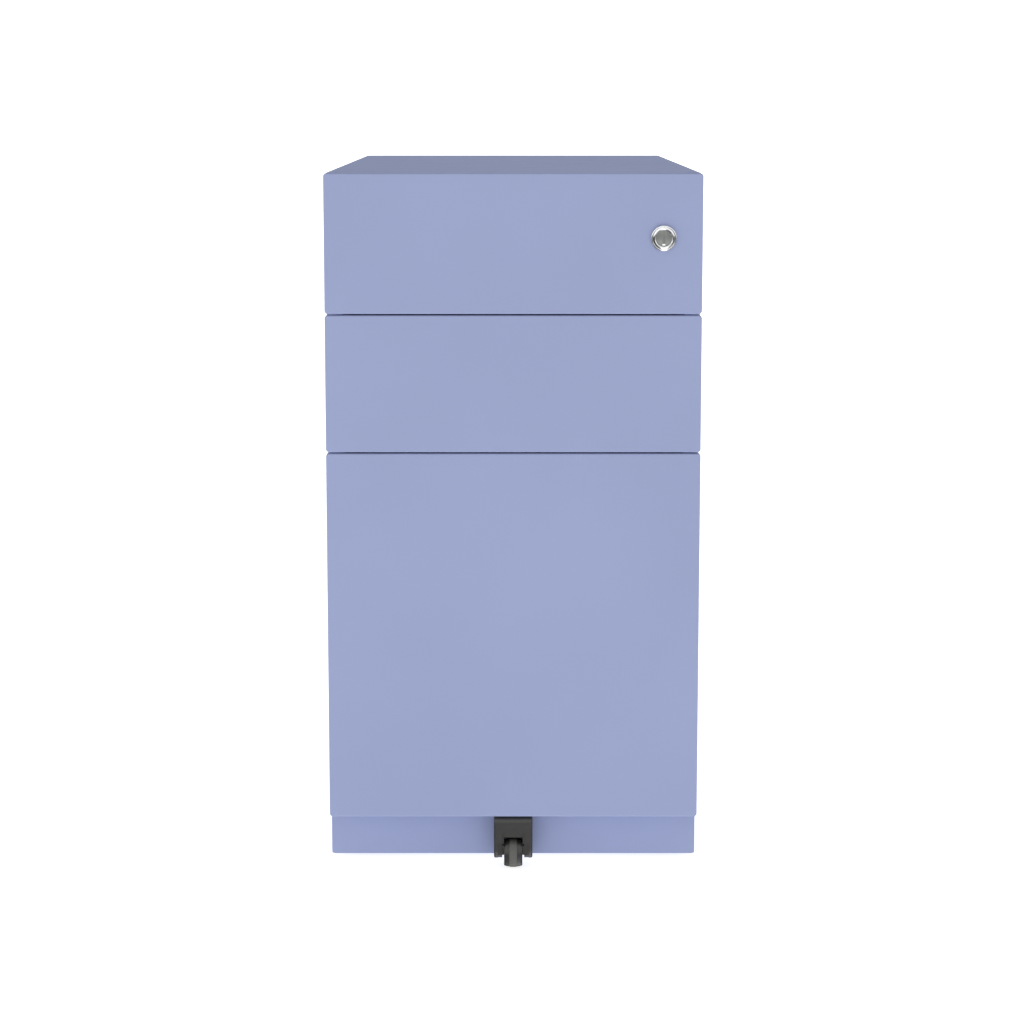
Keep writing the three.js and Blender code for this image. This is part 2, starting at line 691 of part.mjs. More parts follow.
// Both wheels with the axle that joins them.
function castorWheels(name) {
  const [near, far] = CASTOR_WHEEL_X;
  const [rim, edge] = [CASTOR_WHEEL, 1.5];
  const half = [
    [CASTOR_AXLE, near],
    [rim - edge, near],
    [rim, near + edge],
    [rim, far - edge],
    [rim - edge, far],
    [0, far],
  ];
  const mirrored = half.map(([r, x]) => [r, -x]).reverse();
  const wheels = mesh(`${name}_wheels`, turned([...mirrored, ...half], "x", 32), BLACK_PLASTIC);
  wheels.position.set(0, CASTOR_TRAIL, CASTOR_WHEEL);
  return wheels;
}

function castor(name, x, y) {
  const group = new THREE.Group();
  group.position.set(x, y, 0);
  group.add(castorPlate(name), castorFork(name), castorWheels(name));
  return group;
}

// A block with rounded ends seen from the side, slotted from below for the wheel. The slot is wider
// below the axle, and the inner part of each cheek's front stands back from its rim.
function fifthHousing() {
  const half = FIFTH_HOUSING_HALF;
  const y = [-8, 9];
  const cheekBottom = 8.3;
  const [slotTop, backOpeningTop, backWall] = [27.6, 22.5, 1.5];
  const slot = FIFTH_WHEEL_HALF + SEAM;
  const [footSlot, footTop] = [slot + 1.1, FIFTH_AXLE_Z + SEAM];
  const [rim, recess, recessTop] = [3.2, 1.3, 22.4];
  const through = [y[0] - OVER, y[1] + OVER];
  const side = roundedRectangle(y, [cheekBottom, FRONTS_BOTTOM - SEAM], [7.5, 7.5, 1, 6.5]);
  const recesses = [-1, 1].map((s) => {
    const x = [slot - OVER, half - rim].map((v) => s * v).sort((a, b) => a - b);
    return box(x, [y[0] - OVER, y[0] + recess], [0, recessTop]);
  });
  const body = cut(
    prism(side, "x", [-half, half], 6),
    wideBox(slot, [y[0] - OVER, y[1] - backWall], [0, slotTop]),
    wideBox(slot, through, [0, backOpeningTop]),
    wideBox(footSlot, through, [0, footTop]),
    rod(FIFTH_AXLE + RUNNING, "x", [-half + 1.5, half - 1.5], 20).translate([0, 0, FIFTH_AXLE_Z]),
    ...recesses,
  );
  return mesh("fifth_castor_housing", body, BLACK_PLASTIC);
}

function fifthAxle() {
  const half = FIFTH_HOUSING_HALF - 1.7;
  const axle = mesh("fifth_castor_axle", rod(FIFTH_AXLE, "x", [-half, half], 20), SATIN_STEEL);
  axle.position.z = FIFTH_AXLE_Z;
  return axle;
}

// A crowned tread: a flat band round the middle and shoulders that fall away to the sides.
function fifthWheel() {
  const half = FIFTH_WHEEL_HALF;
  const band = 3.25;
  const shoulder = FIFTH_WHEEL - 1.1;
  const bore = FIFTH_AXLE + RUNNING;
  const profile = [
    [bore, -half],
    [shoulder, -half],
    [FIFTH_WHEEL, -band],
    [FIFTH_WHEEL, band],
    [shoulder, half],
    [bore, half],
    [bore, -half],
  ];
  const wheel = mesh("fifth_castor_wheel", turned(profile, "x", 32), GREY_TREAD);
  wheel.position.z = FIFTH_AXLE_Z;
  return wheel;
}

function fifthCastor() {
  const group = new THREE.Group();
  group.position.y = FIFTH_Y;
  group.add(fifthHousing(), fifthAxle(), fifthWheel());
  return group;
}

// ---------------------------------------------------------------------------------------------------
// The whole cabinet
// ---------------------------------------------------------------------------------------------------

const cabinet = new THREE.Group();
cabinet.add(
  outerWrap(),
  backPanel(),
  basePanel(),
  frontPlinth(),
  rearUpright("left_rear_upright", -1),
  rearUpright("right_rear_upright", 1),
  bottomDrawer(),
  drawerBase("middle_drawer", DRAWERS.middle_drawer),
  topDrawer(),
  lock(),
  lockingBar(),
  fifthCastor(),
  castor("front_left_castor", -CASTOR_X, CASTOR_FRONT_Y),
  castor("front_right_castor", CASTOR_X, CASTOR_FRONT_Y),
  castor("rear_left_castor", -CASTOR_X, CASTOR_REAR_Y),
  castor("rear_right_castor", CASTOR_X, CASTOR_REAR_Y),
);

export default cabinet;
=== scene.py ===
"""Bedside cabinet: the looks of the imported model.

The sheet-metal nodes keep their CAD shape and get fine rounded edges and a powder coat. The lock, the
castors' wheels and the fifth castor are rebuilt in more detail, and parts that are too small for the
CAD are added: rivets, bolts, weld marks and the balls of the runners. Blender's unit is the metre. The
sizes named below and those in the outlines are in millimetres, which MM turns into metres.
"""

import json
import math

import bmesh
import bpy
from mathutils import Matrix, Vector


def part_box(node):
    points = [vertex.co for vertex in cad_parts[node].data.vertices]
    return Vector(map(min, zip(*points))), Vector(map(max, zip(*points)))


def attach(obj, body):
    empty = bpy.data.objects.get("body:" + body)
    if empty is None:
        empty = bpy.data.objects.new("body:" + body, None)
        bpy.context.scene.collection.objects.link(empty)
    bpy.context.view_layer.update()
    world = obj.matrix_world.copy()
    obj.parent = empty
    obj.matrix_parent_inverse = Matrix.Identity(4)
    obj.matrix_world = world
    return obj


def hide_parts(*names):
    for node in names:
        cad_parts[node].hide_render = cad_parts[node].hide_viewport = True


MM = 0.001
DRAWERS = ("top_drawer", "middle_drawer", "bottom_drawer")
CASTORS = ("front_left_castor", "front_right_castor", "rear_left_castor", "rear_right_castor")

# colours, 0 to 255 as on a screen
PAINT_COLOUR = (157, 167, 203)
ZINC_BLUE = (191, 194, 199)
ZINC_STRAW = (200, 199, 196)
ZINC_LINES = (170, 172, 176)
CHROME_DULL = (222, 224, 228)
CHROME_BRIGHT = (236, 236, 236)
NICKEL_DULL = (158, 160, 158)
NICKEL_BRIGHT = (168, 170, 168)
PLASTIC_COLOUR = (49, 49, 47)
TREAD_COLOUR = (96, 96, 92)

# rounded edges
PAINT_EDGE = 0.3
METAL_EDGE = 0.2
PLATE_EDGE = 0.3
FORK_EDGE = 0.5
EDGE_SEGMENTS = 2
BEVEL_ANGLE = 40  # degrees, the least corner that is rounded
SHARP_ANGLE = 42  # degrees, the least corner that is shaded sharp

# fasteners: a head's radius and height, and where it goes
RIVET_HEAD = (3.0, 1.1)
RIVET_SHARES = (0.12, 0.5, 0.9)  # of the runner's length
TRAY_SIDE = 1.0  # thickness of the tray's side
BOLT_HEAD = (3.4, 1.8)
BOLT_REACH = 16  # from the castor plate's middle, both ways
PLATE_SHEET = 2.0
BALL_RADIUS = 1.9
BALLS_IN_ROW = 10
BALL_INSET = 1.3  # of a ball's centre, from the cage's edge
WELD_INSET = 7  # from the carcase's outer side
WELD_SHARES = (0.06, 0.23, 0.4, 0.57, 0.74, 0.9)  # of the carcase's height
WELDS_ACROSS = (-75, 0, 75)

# lock: radii, then depths behind the ring's foremost point
LOCK_BORE = 6.5
LOCK_BARREL = 8.2
LOCK_ROLL = 0.95  # of the ring's rolled outer edge
LOCK_SEAT = 2.75  # the back of the ring, on the drawer's front
NUT_BORE = 8.35
NUT_FIT = 0.97  # the nut's corners, as a share of the CAD nut's radius
NUT_EDGE = 0.3
PLUG_TAIL = 3.5
PLUG_TAIL_LENGTH = 4.2

# light
FLOOR_GREY = 0.9
FLOOR_GLOW = 0.75
WORLD_HORIZON = 0.53
WORLD_ZENITH = 0.6
BACKDROP_WHITE = 1.0
CEILING_REFLECTION = 1.1
BACK_REFLECTION = [(0.2, 1.0), (0.6, 0.08)]
AHEAD_REFLECTION = [(0.0, 2.0), (0.1, 0.8), (0.2, 0.5)]
HIGH_REFLECTION_RISE = [(0.52, 0.0), (0.66, 1.0)]
LOW_REFLECTION = [
    (0.0, 0.6),
    (0.2, 0.05),
    (0.42, 0.1),
    (0.45, 1.0),
    (0.64, 1.0),
    (0.67, 0.2),
    (0.85, 0.25),
    (1.0, 0.7),
]
FRONT_POWER = 6.5
SIDE_POWER = 5

# camera: lens in mm, pitch in degrees, places in metres
CAMERA_LENS = 82.2
CAMERA_SENSOR = 36
CAMERA_SHIFT = -0.095
CAMERA_PITCH = 7.75
CAMERA_DISTANCE = 1.85
CAMERA_HEIGHT = 0.629
CAMERA_X = -0.001

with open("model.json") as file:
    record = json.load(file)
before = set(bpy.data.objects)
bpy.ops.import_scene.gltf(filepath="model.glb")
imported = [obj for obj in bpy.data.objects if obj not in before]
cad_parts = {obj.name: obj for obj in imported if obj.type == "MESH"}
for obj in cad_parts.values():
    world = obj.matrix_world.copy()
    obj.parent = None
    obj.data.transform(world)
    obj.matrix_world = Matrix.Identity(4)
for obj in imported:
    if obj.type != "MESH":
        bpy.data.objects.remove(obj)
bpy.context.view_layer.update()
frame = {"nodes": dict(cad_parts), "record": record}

BODY_OF = {
    node: body for body, nodes in frame["record"]["behaviour"]["bodies"].items() for node in nodes
}
SLOT_OF = {row["node"]: row["material_slot"] for row in frame["record"]["subparts"]}


# ------------------------------------------------------------------------------------------------
# Materials
# ------------------------------------------------------------------------------------------------


def linear(screen_colour):
    """A colour given as 0 to 255 on a screen, as the shader wants it."""
    channels = []
    for value in screen_colour:
        share = value / 255
        channels.append(share / 12.92 if share <= 0.04045 else ((share + 0.055) / 1.055) ** 2.4)
    return (*channels, 1.0)


class Shader:
    """A material under construction: one Principled shader and the nodes that feed it."""

    def __init__(self, name, metallic=0.0, specular=0.5):
        self.material = bpy.data.materials.new(name)
        self.material.use_nodes = True
        self.nodes = self.material.node_tree.nodes
        self.links = self.material.node_tree.links
        self.bsdf = self.nodes["Principled BSDF"]
        self.bsdf.inputs["Metallic"].default_value = metallic
        self.bsdf.inputs["Specular IOR Level"].default_value = specular
        self.place = self.nodes.new("ShaderNodeTexCoord").outputs["Object"]
        self.height = None

    def link(self, source, target):
        self.links.new(source, target)

    def stretched(self, x, y, z):
        """The place, stretched, for marks that run one way."""
        mapping = self.nodes.new("ShaderNodeMapping")
        mapping.inputs["Scale"].default_value = (x, y, z)
        self.link(self.place, mapping.inputs["Vector"])
        return mapping.outputs["Vector"]

    def noise(self, scale, detail=2.0, roughness=0.5, vector=None):
        node = self.nodes.new("ShaderNodeTexNoise")
        node.inputs["Scale"].default_value = scale
        node.inputs["Detail"].default_value = detail
        node.inputs["Roughness"].default_value = roughness
        self.link(vector or self.place, node.inputs["Vector"])
        return node.outputs["Fac"]

    def between(self, value, low, high, start=0.35, end=0.65):
        """value, rescaled from start..end to low..high."""
        node = self.nodes.new("ShaderNodeMapRange")
        for socket, number in zip(
            ("From Min", "From Max", "To Min", "To Max"), (start, end, low, high)
        ):
            node.inputs[socket].default_value = number
        self.link(value, node.inputs["Value"])
        return node.outputs["Result"]

    def mix(self, share, first, second):
        """A colour between two, each a colour or a socket."""
        node = self.nodes.new("ShaderNodeMix")
        node.data_type = "RGBA"
        self.link(share, node.inputs["Factor"])
        for socket, colour in (("A", first), ("B", second)):
            target = next(i for i in node.inputs if i.name == socket and i.type == "RGBA")
            if isinstance(colour, tuple):
                target.default_value = colour
            else:
                self.link(colour, target)
        return next(o for o in node.outputs if o.type == "RGBA")

    def colour(self, socket):
        self.link(socket, self.bsdf.inputs["Base Color"])

    def roughness(self, socket):
        self.link(socket, self.bsdf.inputs["Roughness"])

    def bump(self, height, distance, strength):
        """Adds a layer of relief that is distance deep, over the layers before it."""
        node = self.nodes.new("ShaderNodeBump")
        node.inputs["Distance"].default_value = distance
        node.inputs["Strength"].default_value = strength
        self.link(height, node.inputs["Height"])
        if self.height:
            self.link(self.height, node.inputs["Normal"])
        self.height = node.outputs["Normal"]
        self.link(self.height, self.bsdf.inputs["Normal"])


def shade(colour, factor):
    """A colour made lighter or darker."""
    return (*(channel * factor for channel in colour[:3]), 1.0)


def powder_coat():
    """Satin powder coat: fine orange peel, a faint cloudiness and small flecks."""
    base = linear(PAINT_COLOUR)
    shader = Shader("powder_coat", specular=0.12)
    cloud = shader.noise(6.0, 3.0)
    peel = shader.noise(620.0, 1.5)
    fleck = shader.noise(2600.0, 1.0)
    clouded = shader.mix(shader.between(cloud, 0.0, 1.0), shade(base, 0.975), shade(base, 1.015))
    shader.colour(shader.mix(shader.between(fleck, 0.0, 0.25, 0.62, 0.75), clouded, shade(base, 0.8)))
    rubbed = shader.noise(38.0, 4.0, 0.65)
    shader.roughness(shader.between(rubbed, 0.46, 0.58, 0.3, 0.7))
    shader.bump(peel, 0.05 * MM, 0.55)
    shader.bump(fleck, 0.01 * MM, 0.4)
    return shader.material


def zinc_plate():
    """Rolled steel with a dull zinc plating: lines along its length and a faint blue and straw tint."""
    shader = Shader("zinc_plate", metallic=0.6)
    lines = shader.noise(900.0, 3.0, 0.6, shader.stretched(1.0, 0.02, 1.0))
    tint = shader.noise(30.0, 3.0)
    tinted = shader.mix(shader.between(tint, 0.0, 1.0), linear(ZINC_BLUE), linear(ZINC_STRAW))
    shader.colour(shader.mix(shader.between(lines, 0.0, 0.35), tinted, linear(ZINC_LINES)))
    shader.roughness(shader.between(lines, 0.28, 0.45))
    shader.bump(lines, 0.02 * MM, 0.5)
    return shader.material


def chrome():
    """Polished chrome with hairline scratches in its gloss."""
    shader = Shader("chrome", metallic=1.0)
    haze = shader.noise(140.0, 4.0, 0.7)
    hairs = shader.noise(1400.0, 2.0, 0.6, shader.stretched(1.0, 1.0, 0.08))
    shader.colour(shader.mix(shader.between(haze, 0.0, 1.0), linear(CHROME_DULL), linear(CHROME_BRIGHT)))
    shader.roughness(shader.between(hairs, 0.06, 0.16))
    shader.bump(hairs, 0.004 * MM, 0.3)
    return shader.material


def satin_nickel():
    """Dull plated zinc casting, as a lock's plug is."""
    shader = Shader("satin_nickel", metallic=1.0)
    grain = shader.noise(1800.0, 3.0, 0.6)
    worn = shader.noise(260.0, 3.0, 0.6)
    shader.colour(shader.mix(shader.between(worn, 0.0, 1.0), linear(NICKEL_DULL), linear(NICKEL_BRIGHT)))
    shader.roughness(shader.between(grain, 0.5, 0.58))
    shader.bump(grain, 0.01 * MM, 0.5)
    return shader.material


def moulded_plastic(name, colour, low, high, specular, grain_scale=1500.0):
    """Moulded plastic with a fine eroded texture."""
    shader = Shader(name, specular=specular)
    grain = shader.noise(grain_scale, 2.0, 0.6)
    scuffs = shader.noise(90.0, 5.0, 0.7)
    worn = shader.between(scuffs, 0.0, 1.0, 0.4, 0.7)
    shader.colour(shader.mix(worn, shade(colour, 0.92), shade(colour, 1.15)))
    shader.roughness(shader.between(scuffs, low, high))
    shader.bump(grain, 0.03 * MM, 0.5)
    return shader.material


MATERIALS = {
    "blue_paint": powder_coat(),
    "zinc": zinc_plate(),
    "chrome": chrome(),
    "satin_steel": satin_nickel(),
    "black_plastic": moulded_plastic("black_plastic", linear(PLASTIC_COLOUR), 0.32, 0.44, 0.6),
    "grey_tread": moulded_plastic("grey_tread", linear(TREAD_COLOUR), 0.55, 0.7, 0.4, 900.0),
}


# ------------------------------------------------------------------------------------------------
# Mesh building
# ------------------------------------------------------------------------------------------------


def smooth_group():
    """A modifier that shades smooth and keeps edges sharp above an angle."""
    group = bpy.data.node_groups.new("smooth_by_angle", "GeometryNodeTree")
    group.interface.new_socket("Geometry", in_out="INPUT", socket_type="NodeSocketGeometry")
    group.interface.new_socket("Geometry", in_out="OUTPUT", socket_type="NodeSocketGeometry")
    start, end = group.nodes.new("NodeGroupInput"), group.nodes.new("NodeGroupOutput")
    faces = group.nodes.new("GeometryNodeSetShadeSmooth")
    edges = group.nodes.new("GeometryNodeSetShadeSmooth")
    edges.domain = "EDGE"
    edges.inputs["Shade Smooth"].default_value = False
    angle = group.nodes.new("GeometryNodeInputMeshEdgeAngle")
    over = group.nodes.new("FunctionNodeCompare")
    over.operation = "GREATER_THAN"
    over.inputs["B"].default_value = math.radians(SHARP_ANGLE)
    group.links.new(angle.outputs["Unsigned Angle"], over.inputs["A"])
    group.links.new(start.outputs[0], faces.inputs["Geometry"])
    group.links.new(faces.outputs[0], edges.inputs["Geometry"])
    group.links.new(over.outputs[0], edges.inputs["Selection"])
    group.links.new(edges.outputs[0], end.inputs[0])
    return group


SMOOTH = smooth_group()


def round_edges(obj, width):
    """Fine rounded edges and even shading, all by modifiers."""
    flat = obj.modifiers.new("merge_flat_faces", "DECIMATE")
    flat.decimate_type = "DISSOLVE"
    flat.angle_limit = math.radians(0.5)
    bevel = obj.modifiers.new("edges", "BEVEL")
    bevel.width = width
    bevel.segments = EDGE_SEGMENTS
    bevel.limit_method = "ANGLE"
    bevel.angle_limit = math.radians(BEVEL_ANGLE)
    bevel.use_clamp_overlap = True
    obj.modifiers.new("smooth", "NODES").node_group = SMOOTH
    weighted = obj.modifiers.new("normals", "WEIGHTED_NORMAL")
    weighted.keep_sharp = True
    weighted.weight = 80


def carried(node, edge):
    """A CAD node that keeps its shape. edge is the radius of its rounded edges in mm."""
    obj = frame["nodes"][node]
    obj.data.materials.clear()
    obj.data.materials.append(MATERIALS[SLOT_OF[node]])
    round_edges(obj, edge * MM)


def ring(bm, points):
    return [bm.verts.new(p) for p in points]


def bridge(bm, first, second):
    """Faces between two rings. Either may be a single vertex."""
    count = max(len(first), len(second))
    for i in range(count):
        j = (i + 1) % count
        if len(first) == 1:
            bm.faces.new((first[0], second[j], second[i]))
        elif len(second) == 1:
            bm.faces.new((first[i], first[j], second[0]))
        else:
            bm.faces.new((first[i], first[j], second[j], second[i]))


AXES = {
    "x": (Vector((1, 0, 0)), Vector((0, 1, 0)), Vector((0, 0, 1))),
    "y": (Vector((0, 1, 0)), Vector((0, 0, 1)), Vector((1, 0, 0))),
    "z": (Vector((0, 0, 1)), Vector((1, 0, 0)), Vector((0, 1, 0))),
}


def turn(bm, profile, axis, centre, segments=64):
    """Adds a turned solid. The profile is [radius, along the axis] in mm; a last point like the first
    makes it a closed ring."""
    along, u, v = AXES[axis]
    centre = Vector(centre)
    closed = profile[0] == profile[-1]
    rings = []
    for radius, place in profile[: -1 if closed else None]:
        middle = centre + along * place * MM
        if radius == 0:
            rings.append(ring(bm, [middle]))
            continue
        angles = [2 * math.pi * i / segments for i in range(segments)]
        spokes = [u * math.cos(a) + v * math.sin(a) for a in angles]
        rings.append(ring(bm, [middle + spoke * radius * MM for spoke in spokes]))
    for first, second in zip(rings, rings[1:] + (rings[:1] if closed else [])):
        bridge(bm, first, second)


def rounded_outline(low, high, radii, steps=6):
    """A rectangle's outline with a radius at each corner: low-low, high-low, high-high, low-high."""
    (a0, b0), (a1, b1) = low, high
    corners = (
        (a0, b0, 1, 1, math.pi),
        (a1, b0, -1, 1, 1.5 * math.pi),
        (a1, b1, -1, -1, 0.0),
        (a0, b1, 1, -1, 0.5 * math.pi),
    )
    points = []
    for (a, b, into_a, into_b, start), radius in zip(corners, radii):
        if radius == 0:
            points.append((a, b))
            continue
        for i in range(steps + 1):
            angle = start + 0.5 * math.pi * i / steps
            points.append(
                (
                    a + into_a * radius + radius * math.cos(angle),
                    b + into_b * radius + radius * math.sin(angle),
                )
            )
    return points


def extrude(bm, outline, axis, start, end):
    """Adds a prism of an outline in mm, in the plane across the axis, taken in the order x, y, z."""
    spots = {
        "x": lambda a, b, t: (t, a, b),
        "y": lambda a, b, t: (a, t, b),
        "z": lambda a, b, t: (a, b, t),
    }
    at = spots[axis]
    first = ring(bm, [Vector(at(a, b, start)) * MM for a, b in outline])
    second = ring(bm, [Vector(at(a, b, end)) * MM for a, b in outline])
    bridge(bm, first, second)
    bm.faces.new(first)
    bm.faces.new(second)


def block(bm, low, high):
    """Adds a box between two corners in mm."""
    (x0, y0, z0), (x1, y1, z1) = low, high
    extrude(bm, [(x0, y0), (x1, y0), (x1, y1), (x0, y1)], "z", z0, z1)


def mesh_object(name, build):
    """An object from a function that fills a bmesh."""
    bm = bmesh.new()
    build(bm)
    bmesh.ops.recalc_face_normals(bm, faces=bm.faces)
    mesh = bpy.data.meshes.new(name)
    bm.to_mesh(mesh)
    bm.free()
    obj = bpy.data.objects.new(name, mesh)
    bpy.context.scene.collection.objects.link(obj)
    return obj


def carve(obj, *builders):
    """Cuts solids out of an object and keeps the result as its mesh."""
    tools = []
    for i, build in enumerate(builders):
        tool = mesh_object(f"{obj.name}_tool_{i}", build)
        cut = obj.modifiers.new("cut", "BOOLEAN")
        cut.operation = "DIFFERENCE"
        cut.solver = "EXACT"
        cut.object = tool
        tools.append(tool)
    settle(obj)
    for tool in tools:
        bpy.data.objects.remove(tool)
    return obj


def settle(obj):
    """Turns an object's modifiers into its mesh."""
    bpy.context.view_layer.update()
    evaluated = obj.evaluated_get(bpy.context.evaluated_depsgraph_get())
    mesh = bpy.data.meshes.new_from_object(evaluated)
    obj.modifiers.clear()
    obj.data = mesh
    mesh.name = obj.name


def finish_piece(obj, body, slot, replaces=(), edge=None):
    """Gives a piece the material named by slot, attaches it to its body and hides the nodes it replaces.
    edge is the radius of its rounded edges in mm.
    """
    obj.data.materials.clear()
    obj.data.materials.append(MATERIALS[slot])
    if edge:
        round_edges(obj, edge * MM)
    else:
        obj.data.shade_smooth()
        obj.data.set_sharp_from_angle(angle=math.radians(SHARP_ANGLE))
    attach(obj, body)
    if replaces:
        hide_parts(*replaces)


# ------------------------------------------------------------------------------------------------
# Sheet metal and runners
# ------------------------------------------------------------------------------------------------


def sheet_metal():
    """The nodes whose CAD shape is right: edges as fine as their sheet allows."""
    rebuilt = ("castor", "lock_housing", "lock_plug", "lock_nut")
    for node in sorted(frame["nodes"]):
        if any(word in node for word in rebuilt):
            continue
        carried(node, PAINT_EDGE if SLOT_OF[node] == "blue_paint" else METAL_EDGE)


def domed_head(bm, centre, axis, sign, radius, height):
    """A bolt's or rivet's domed head, standing out along an axis."""
    steps = 6
    angles = [0.5 * math.pi * i / steps for i in range(steps)]
    dome = [(radius * math.cos(a), height * (0.35 + 0.65 * math.sin(a))) for a in angles]
    profile = [(0, -0.2), (radius, -0.2), *dome, (0, height)]
    turn(bm, [(r, sign * t) for r, t in profile], axis, centre, 20)


def rivets():
    """Rivets that hold each inner runner member to its tray, seen inside the tray."""
    for drawer in DRAWERS:
        low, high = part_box(f"{drawer}_right_inner_slide")
        tray_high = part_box(f"{drawer}_tray")[1]
        z = (low.z + high.z) / 2
        inside = tray_high.x - TRAY_SIDE * MM
        places = [low.y + share * (high.y - low.y) for share in RIVET_SHARES]

        def build(bm):
            for side in (-1, 1):
                for y in places:
                    domed_head(bm, (side * inside, y, z), "x", -side, *RIVET_HEAD)

        finish_piece(mesh_object(f"{drawer}_rivets", build), drawer, "zinc")


def cage_balls():
    """The steel balls of the two-part runners, standing out of their cages above and below."""
    for drawer in ("top_drawer", "middle_drawer"):
        for side in ("left", "right"):
            low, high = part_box(f"{drawer}_{side}_ball_cage")
            x = (low.x + high.x) / 2

            def build(bm):
                for i in range(BALLS_IN_ROW):
                    y = low.y + (high.y - low.y) * (i + 0.5) / BALLS_IN_ROW
                    for z in (low.z + BALL_INSET * MM, high.z - BALL_INSET * MM):
                        place = Matrix.Translation((x, y, z))
                        bmesh.ops.create_uvsphere(
                            bm, u_segments=16, v_segments=10, radius=BALL_RADIUS * MM, matrix=place
                        )

            piece = mesh_object(f"{drawer}_{side}_balls", build)
            finish_piece(piece, BODY_OF[f"{drawer}_{side}_ball_cage"], "chrome")


def weld_marks():
    """Shallow round marks where the back's edges are spot-welded to the back panel."""
    low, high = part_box("outer_wrap")

    def build(bm):
        y = high.y
        rows = [low.z + (high.z - low.z) * share for share in WELD_SHARES]
        spots = [(side * (high.x - WELD_INSET * MM), z) for side in (-1, 1) for z in rows]
        spots += [(x * MM, high.z - WELD_INSET * MM) for x in WELDS_ACROSS]
        for x, z in spots:
            profile = [(3.1, -0.25), (3.1, -0.12), (2.7, -0.01), (2.2, -0.06), (0, -0.1)]
            turn(bm, [(0, -0.25), *profile], "y", (x, y, z), 28)

    finish_piece(mesh_object("back_weld_marks", build), "carcase", "blue_paint")


# ------------------------------------------------------------------------------------------------
# Lock
# ------------------------------------------------------------------------------------------------


def fillet(middle, along, radius, start, end, steps):
    """Points of a fillet about [middle, along], angles in degrees from outwards to forwards."""
    angles = [math.radians(start + (end - start) * i / steps) for i in range(steps + 1)]
    return [(middle + radius * math.cos(a), along - radius * math.sin(a)) for a in angles]


def lock_ring(x, z):
    """From the bore outwards: a bevel, a fine groove, a sloping face and a rolled edge."""
    low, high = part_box("lock_housing")
    outer = (high.x - low.x) / 2 / MM
    length = (high.y - low.y) / MM
    bore, seat = LOCK_BORE, LOCK_SEAT

    def build(bm):
        profile = [(bore, 2.0), (bore, 0.8), (bore + 0.08, 0.7), (bore + 0.52, 0.3), (bore + 0.6, 0.28)]
        profile += [(bore + 0.64, 0.42), (bore + 0.76, 0.42), (bore + 0.8, 0.1), (bore + 0.9, 0.04)]
        profile += [(bore + 1.05, 0.05), (outer - 1.3, 0.6), (outer - 1.22, 0.68)]
        profile += fillet(outer - LOCK_ROLL, 1.35, LOCK_ROLL, 112, 0, 14)
        profile += [(outer, seat - 0.05), (outer - 0.2, seat), (LOCK_BARREL, seat)]
        profile += [(LOCK_BARREL, length), (bore, length)]
        turn(bm, [*profile, profile[0]], "y", (x, low.y, z), 128)

    finish_piece(mesh_object("lock_ring", build), "top_drawer", "chrome", ("lock_housing",))


def lock_nut(x, z):
    """A hexagonal nut behind the drawer's skin."""
    low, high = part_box("lock_nut")
    reach = (high.x - low.x) / 2 / MM * NUT_FIT

    def nut(bm):
        angles = [math.pi * i / 3 for i in range(6)]
        hexagon = [(x / MM + reach * math.cos(a), z / MM + reach * math.sin(a)) for a in angles]
        extrude(bm, hexagon, "y", low.y / MM, high.y / MM)

    def hole(bm):
        through = 400
        profile = [(0, -through), (NUT_BORE, -through), (NUT_BORE, through), (0, through)]
        turn(bm, profile, "y", (x, 0, z), 48)

    piece = carve(mesh_object("lock_hex_nut", nut), hole)
    finish_piece(piece, "top_drawer", "zinc", ("lock_nut",), edge=NUT_EDGE)


def lock_plug(x, z, front):
    """A plug with a bevelled rim, a hair-fine upright keyway and a notch at its top and bottom."""
    low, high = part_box("lock_plug")
    face = (low.y - front) / MM
    back = (high.y - front) / MM
    tail = back - PLUG_TAIL_LENGTH
    rim = (high.x - low.x) / 2 / MM

    def plug(bm):
        profile = [(0, face + 0.12), (rim - 1.0, face + 0.12), (rim - 0.8, face + 0.02), (rim - 0.6, face)]
        profile += fillet(rim - 0.35, face + 0.35, 0.35, 90, 0, 5)
        profile += [(rim, tail), (PLUG_TAIL, tail), (PLUG_TAIL, back - 0.3)]
        profile += [(PLUG_TAIL - 0.3, back), (0, back)]
        turn(bm, profile, "y", (x, front, z), 72)

    def pocket(half_width, bottom, top, radius, depth):
        """A function that makes the solid of a pocket in the plug's face, placed from its centre."""

        def build(bm):
            corners = (x / MM - half_width, z / MM + bottom), (x / MM + half_width, z / MM + top)
            outline = rounded_outline(*corners, (radius,) * 4, 3)
            extrude(bm, outline, "y", low.y / MM - 1, low.y / MM + depth)

        return build

    piece = mesh_object("lock_barrel_plug", plug)
    keyway = pocket(0.2, -3.9, 3.9, 0.15, 1.0)
    top_notch = pocket(1.5, 4.4, 5.2, 0.2, 0.5)
    bottom_notch = pocket(1.25, -5.6, -4.35, 0.2, 1.2)
    for cut in (keyway, top_notch, bottom_notch):
        carve(piece, cut)
    finish_piece(piece, "lock", "satin_steel", ("lock_plug",))

    def index_mark(bm):
        """A bright facet in the lower notch, sloping up and back."""
        bottom, top = z / MM - 5.55, z / MM - 4.4
        near, far = low.y / MM + 0.1, low.y / MM + 1.1
        section = [(near, bottom), (far, bottom), (far, top), (near + 0.4, top)]
        extrude(bm, section, "x", x / MM - 1.2, x / MM + 1.2)

    finish_piece(mesh_object("lock_index_mark", index_mark), "lock", "chrome")


def lock():
    """A polished ring with a rolled edge, the nut that holds it and the plug in it."""
    low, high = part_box("lock_housing")
    x, z = (low.x + high.x) / 2, (low.z + high.z) / 2
    lock_ring(x, z)
    lock_nut(x, z)
    lock_plug(x, z, low.y)


# ------------------------------------------------------------------------------------------------
# Fifth castor
# ------------------------------------------------------------------------------------------------


